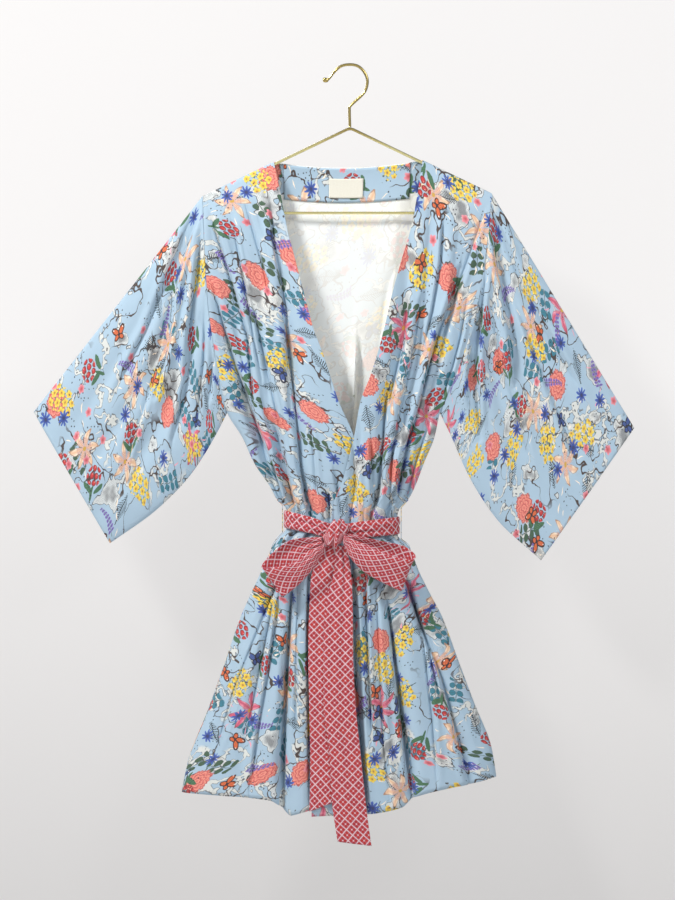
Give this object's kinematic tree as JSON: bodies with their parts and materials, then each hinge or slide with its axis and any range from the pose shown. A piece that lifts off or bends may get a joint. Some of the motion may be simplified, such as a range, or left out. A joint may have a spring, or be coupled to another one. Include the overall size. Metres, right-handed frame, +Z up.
{
  "type": "short kimono on wire hanger",
  "caption": "Short wrap robe with wide open sleeves, a V neck and a tie belt in a bow, on a wire hanger.",
  "frame": {"origin": "inside of the top of the hook, where a nail or rail bears", "axes": "+Z up, -Y towards the front of the robe, +X to the right of someone who faces the front"},
  "size_m": [0.8417, 0.0852, 1.09],
  "materials": {
    "printed_cloth": "soft light blue printed viscose with a scattered flower print, paler on its wrong side",
    "belt_cloth": "woven cloth printed coral red with a pale diagonal lattice",
    "label_tape": "blank cream tape",
    "brass_wire": "polished brass plated wire"
  },
  "bodies": {
    "root": {"back": "printed_cloth", "front_under": "printed_cloth", "front_over": "printed_cloth", "sleeve_left": "printed_cloth", "sleeve_right": "printed_cloth", "back_neck_facing": "printed_cloth", "belt_loop_left": "printed_cloth", "belt_loop_right": "printed_cloth", "belt_band": "belt_cloth", "belt_knot": "belt_cloth", "bow_loop_left": "belt_cloth", "bow_loop_right": "belt_cloth", "belt_tail_short": "belt_cloth", "belt_tail_long": "belt_cloth", "label": "label_tape", "hanger_frame": "brass_wire", "hanger_hook": "brass_wire"}
  },
  "joints": []
}
